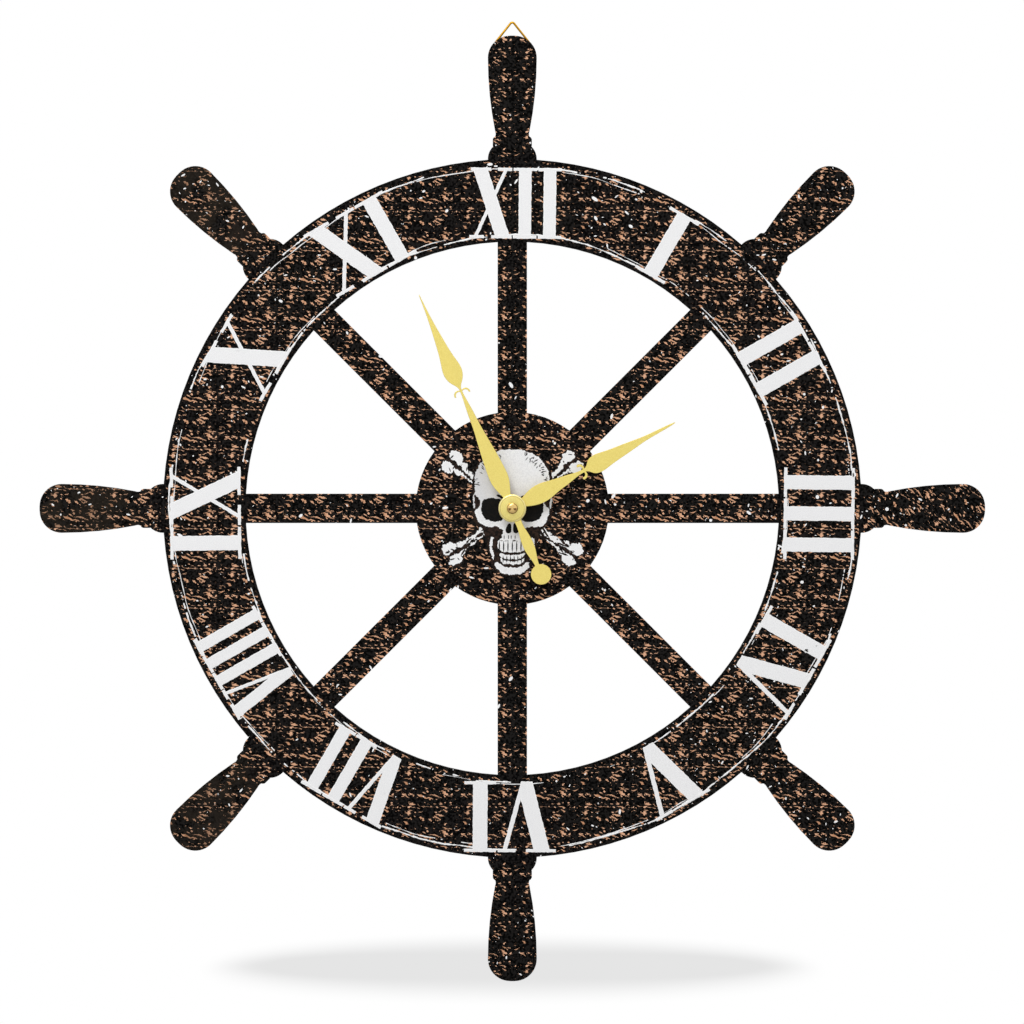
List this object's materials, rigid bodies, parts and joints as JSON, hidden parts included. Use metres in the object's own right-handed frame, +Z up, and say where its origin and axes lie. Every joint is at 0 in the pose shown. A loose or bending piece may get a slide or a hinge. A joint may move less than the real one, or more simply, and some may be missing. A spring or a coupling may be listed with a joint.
{
  "type": "wall clock",
  "caption": "Oversized wall clock cut from a flat board as a ship's wheel, with Roman numerals, gold hands, a quartz movement and a wire hanging ring.",
  "frame": {"origin": "on the hand axis, in the plane of the wall (the rear face of the movement)", "axes": "+Z up, +X to the right seen from the front, the dial faces -Y and +Y points into the wall"},
  "size_m": [0.6, 0.035, 0.6095],
  "materials": {
    "printed_board": "matt printed fibreboard, black with copper-brown streaks",
    "rubber": "matt",
    "case_plastic": "fine spark texture",
    "gear_plastic": "moulded acetal",
    "brass": "turned",
    "hand_gold": "satin gold",
    "motor_iron": "rolled sheet",
    "copper": "enamelled wire",
    "circuit": "phenolic board",
    "chip": "resin",
    "contact_metal": "nickel plated",
    "knob_plastic": "moulded",
    "magnet": "sintered",
    "cell_jacket": "plain jacket",
    "hanger_gold": "plated wire"
  },
  "bodies": {
    "frame": {"wheel_board": "printed_board", "rubber_gasket": "rubber", "rear_case": "case_plastic", "front_cover": "case_plastic", "middle_plate": "gear_plastic", "threaded_bushing": "brass", "brass_washer": "brass", "hex_nut": "brass", "stator": "motor_iron", "coil_core": "motor_iron", "coil_bobbin": "gear_plastic", "coil_winding": "copper", "circuit_board": "circuit", "chip_blob": "chip", "quartz_can": "contact_metal", "contact_positive": "contact_metal", "contact_negative": "contact_metal", "hanger_strap": "hanger_gold", "hanger_screw": "hanger_gold"},
    "minute_group": {"minute_arbor": "gear_plastic", "minute_hand": "hand_gold", "minute_collet": "brass", "boss_disc": "hand_gold", "cap_nut": "brass"},
    "hour_group": {"hour_wheel": "gear_plastic", "hour_hand": "hand_gold", "hour_collet": "brass"},
    "intermediate_group": {"intermediate_wheel": "gear_plastic"},
    "knob_group": {"setting_knob": "knob_plastic"},
    "centre_group": {"centre_wheel": "gear_plastic"},
    "third_group": {"third_wheel": "gear_plastic"},
    "seconds_group": {"seconds_wheel": "gear_plastic"},
    "fifth_group": {"fifth_wheel": "gear_plastic"},
    "rotor_group": {"rotor": "gear_plastic", "rotor_magnet": "magnet"},
    "battery_group": {"battery_cell": "cell_jacket"},
    "ring_group": {"hanger_ring": "hanger_gold"}
  },
  "joints": [
    {"name": "minute_hand_turn", "type": "hinge", "parent": "frame", "child": "minute_group", "pos_m": [0, -0.03, 0], "axis": [0, 1, 0], "continuous": true},
    {"name": "hour_hand_turn", "type": "hinge", "parent": "frame", "child": "hour_group", "pos_m": [0, -0.028, 0], "axis": [0, 1, 0], "continuous": true},
    {"name": "intermediate_turn", "type": "hinge", "parent": "frame", "child": "intermediate_group", "pos_m": [-0.00789, -0.012, 0.00287], "axis": [0, 1, 0], "continuous": true},
    {"name": "knob_turn", "type": "hinge", "parent": "frame", "child": "knob_group", "pos_m": [-0.01433, -0.002, 0.00827], "axis": [0, 1, 0], "continuous": true},
    {"name": "rotor_turn", "type": "hinge", "parent": "frame", "child": "rotor_group", "pos_m": [0.00789, -0.004, 0.01223], "axis": [0, 1, 0], "continuous": true},
    {"name": "fifth_turn", "type": "hinge", "parent": "frame", "child": "fifth_group", "pos_m": [0, -0.006, 0.00936], "axis": [0, 1, 0], "continuous": true},
    {"name": "seconds_turn", "type": "hinge", "parent": "frame", "child": "seconds_group", "pos_m": [0, -0.007, 0], "axis": [0, 1, 0], "continuous": true},
    {"name": "third_turn", "type": "hinge", "parent": "frame", "child": "third_group", "pos_m": [0.0108, -0.008, 0], "axis": [0, 1, 0], "continuous": true},
    {"name": "centre_turn", "type": "hinge", "parent": "frame", "child": "centre_group", "pos_m": [0, -0.01, 0], "axis": [0, 1, 0], "continuous": true},
    {"name": "battery_slide", "type": "slide", "parent": "frame", "child": "battery_group", "axis": [0, 1, 0], "range_m": [0, 0.02]},
    {"name": "hanger_ring_swing", "type": "hinge", "parent": "frame", "child": "ring_group", "pos_m": [0, -0.01545, 0.2928], "axis": [-1, 0, 0], "range_deg": [0, 180]}
  ],
  "couplings": [
    {"joint": "hour_hand_turn", "follows": "minute_hand_turn", "ratio": 0.083333},
    {"joint": "intermediate_turn", "follows": "minute_hand_turn", "ratio": -0.33333},
    {"joint": "knob_turn", "follows": "minute_hand_turn", "ratio": 1},
    {"joint": "fifth_turn", "follows": "rotor_turn", "ratio": -0.16667},
    {"joint": "seconds_turn", "follows": "rotor_turn", "ratio": 0.033333},
    {"joint": "third_turn", "follows": "rotor_turn", "ratio": -0.0044444},
    {"joint": "centre_turn", "follows": "rotor_turn", "ratio": 0.00055556}
  ]
}
